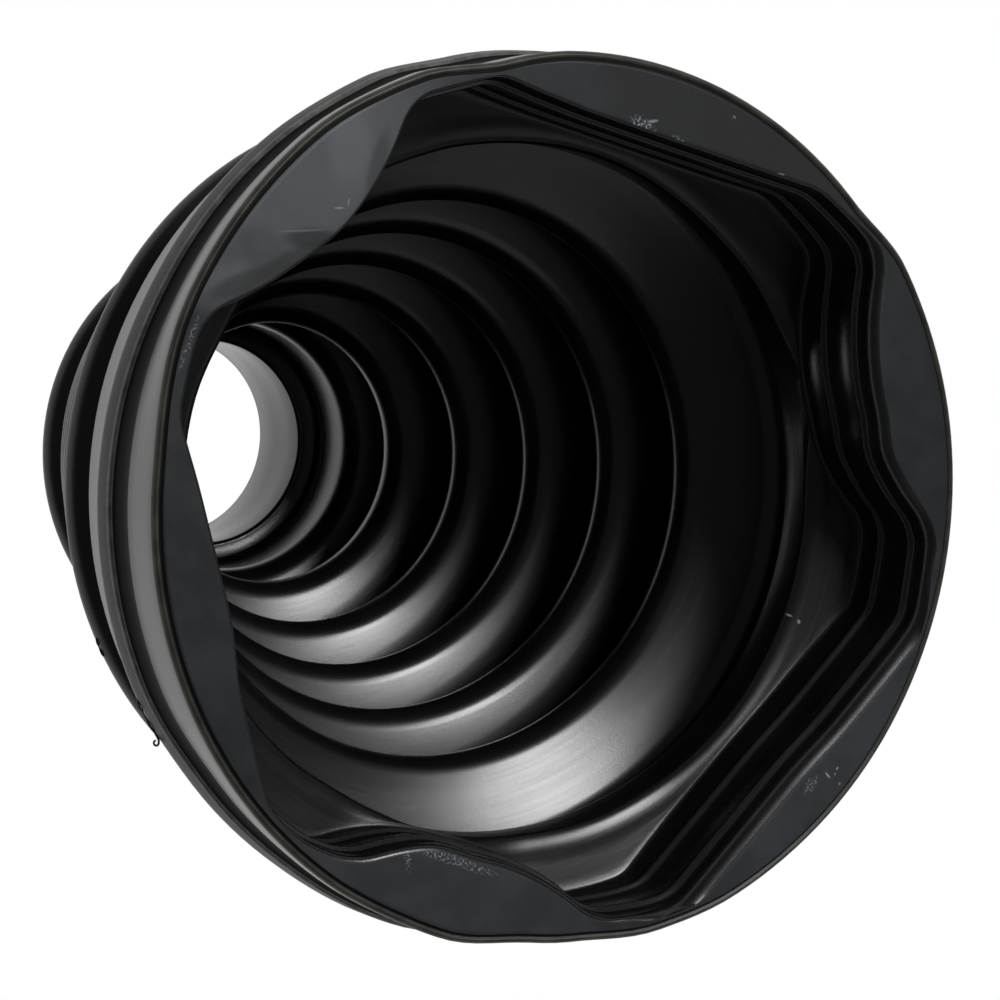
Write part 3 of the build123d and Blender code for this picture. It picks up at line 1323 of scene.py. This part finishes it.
@dataclass(frozen=True)
class Studio:
    """Camera, soft lamps, pale floor and white surroundings.

    The camera's place and directions are measured across and along the picture in the plane of
    the mouth, and up the boot's axis.

    Args:
        across: from the middle of the mouth's face to the camera, and along and above too.
        forward: where the camera looks.
        upward: the picture's upright.
        picture_turn: angle round the axis that the picture's level direction has.
        lens: focal length.
        sensor: its width.
        sweep: heights, as parts of 1, over which the white surroundings dim.
        overhead: what is left of them there.
        floor_half: half the floor's side, in metres.
        floor_colour: as light falls on it.
        lamps: the key lamp, and a faint one that fills the far side.
    """

    across: float = -152.6
    along: float = 28.3
    above: float = 273.2
    forward: tuple[float, float, float] = (0.4656, -0.0894, -0.8805)
    upward: tuple[float, float, float] = (0.0418, 0.996, -0.079)
    picture_turn: float = math.radians(-104)
    lens: float = 119.1
    sensor: float = 36.0
    sweep: tuple[float, float] = (0.1, 0.3)
    overhead: float = 0.08
    floor_half: float = 3.0
    floor_colour: str = "#e8e8e8"
    lamps: tuple[SoftLamp, ...] = (
        SoftLamp("key", -45.5, 58, 1.0, (0.42, 0.24), 7.0, -39),
        SoftLamp("fill", 191, 47, 1.2, (0.9, 0.5), 0.5),
    )

    def camera(self, mouth: Vector) -> bpy.types.Object:
        """Set up the camera.

        Args:
            mouth: middle of the mouth's face, in metres.

        Returns:
            The camera, made the scene's own.
        """
        data = bpy.data.cameras.new("camera")
        data.lens = self.lens
        data.sensor_width = self.sensor
        camera = placed("camera", data)
        right = Vector((math.cos(self.picture_turn), math.sin(self.picture_turn), 0))
        up = Vector((-right.y, right.x, 0))
        offset = right * self.across + up * self.along + Vector((0, 0, self.above))
        camera.location = mouth + offset * MM
        forward = self.direction(right, up, self.forward)
        image_up = self.direction(right, up, self.upward)
        image_right = forward.cross(image_up)
        turn = Matrix((image_right, image_up, -forward)).transposed()
        camera.rotation_mode = "QUATERNION"
        camera.rotation_quaternion = turn.to_quaternion()
        bpy.context.scene.camera = camera
        return camera

    @staticmethod
    def direction(right: Vector, up: Vector, parts: tuple[float, float, float]) -> Vector:
        """A unit direction from its parts along right, up and the boot's axis."""
        return (right * parts[0] + up * parts[1] + Vector((0, 0, parts[2]))).normalized()

    def surroundings(self) -> None:
        """White low down all round, as a sweep gives, and dim overhead."""
        world = bpy.data.worlds.new("surroundings")
        bpy.context.scene.world = world
        tree = emptied(world)
        place = add_node(tree, "ShaderNodeTexCoord").outputs["Generated"]
        height = add_node(tree, "ShaderNodeSeparateXYZ", {"Vector": place}).outputs["Z"]
        inputs = {"Value": height} | spans(self.sweep, (1.0, self.overhead))
        strength = add_node(tree, "ShaderNodeMapRange", inputs, interpolation_type="SMOOTHSTEP")
        inputs = {"Color": linear("#ffffff"), "Strength": strength.outputs["Result"]}
        light = add_node(tree, "ShaderNodeBackground", inputs)
        output = add_node(tree, "ShaderNodeOutputWorld")
        tree.links.new(light.outputs[0], output.inputs["Surface"])

    def lamp(self, lamp: SoftLamp, aim: Vector) -> None:
        """Hang a soft oblong lamp.

        Args:
            lamp: the lamp's settings.
            aim: what it points at.
        """
        data = bpy.data.lights.new(lamp.name, "AREA")
        data.shape = "RECTANGLE"
        data.size, data.size_y = lamp.size
        data.energy = lamp.power
        light = placed(lamp.name, data)
        bearing, height = math.radians(lamp.bearing), math.radians(lamp.height)
        towards = Vector((math.cos(bearing), math.sin(bearing), math.tan(height))).normalized()
        light.location = aim + towards * lamp.distance
        light.rotation_mode = "QUATERNION"
        roll = Quaternion((0, 0, 1), math.radians(lamp.roll))
        light.rotation_quaternion = (-towards).to_track_quat("-Z", "Y") @ roll

    def floor(self) -> None:
        """Lay a plain pale floor under the boot, white wherever it is seen or mirrored."""
        half = self.floor_half
        mesh = bpy.data.meshes.new("floor")
        corners = [(-half, -half, 0), (half, -half, 0), (half, half, 0), (-half, half, 0)]
        mesh.from_pydata(corners, [], [(0, 1, 2, 3)])
        floor = placed("floor", mesh)
        material = bpy.data.materials.new("pale_floor")
        tree = emptied(material)
        path = add_node(tree, "ShaderNodeLightPath")
        seen = path.outputs["Is Camera Ray"]
        for ray in ("Is Glossy Ray", "Is Transmission Ray"):
            inputs = {0: seen, 1: path.outputs[ray]}
            node = add_node(tree, "ShaderNodeMath", inputs, operation="MAXIMUM")
            seen = node.outputs[0]
        pale = add_node(tree, "ShaderNodeBsdfDiffuse", {"Color": linear(self.floor_colour)})
        white = add_node(tree, "ShaderNodeEmission", {"Strength": 1.0})
        inputs = {0: seen, 1: pale.outputs[0], 2: white.outputs[0]}
        mix = add_node(tree, "ShaderNodeMixShader", inputs)
        output = add_node(tree, "ShaderNodeOutputMaterial")
        tree.links.new(mix.outputs[0], output.inputs["Surface"])
        mesh.materials.append(material)


def main() -> None:
    """Build the boot and its studio."""
    logging.basicConfig(level=logging.INFO, format="%(message)s")
    _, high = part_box(NODE)
    top = high.z / MM
    boot = BootMoulding(top=top).build()
    for finish in Finish:
        boot.data.materials.append(FINISHES[finish].material())
    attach(boot, BODY)
    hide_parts(NODE)
    for thread in THREADS:
        piece = thread.build(top, FINISHES[Finish.RIM].material())
        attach(piece, BODY)
    mouth = Vector((0, 0, high.z))
    studio = Studio()
    studio.camera(mouth)
    studio.surroundings()
    studio.floor()
    for lamp in studio.lamps:
        studio.lamp(lamp, mouth)
    bpy.context.scene.view_settings.view_transform = "Standard"


if __name__ == "__main__":
    main()
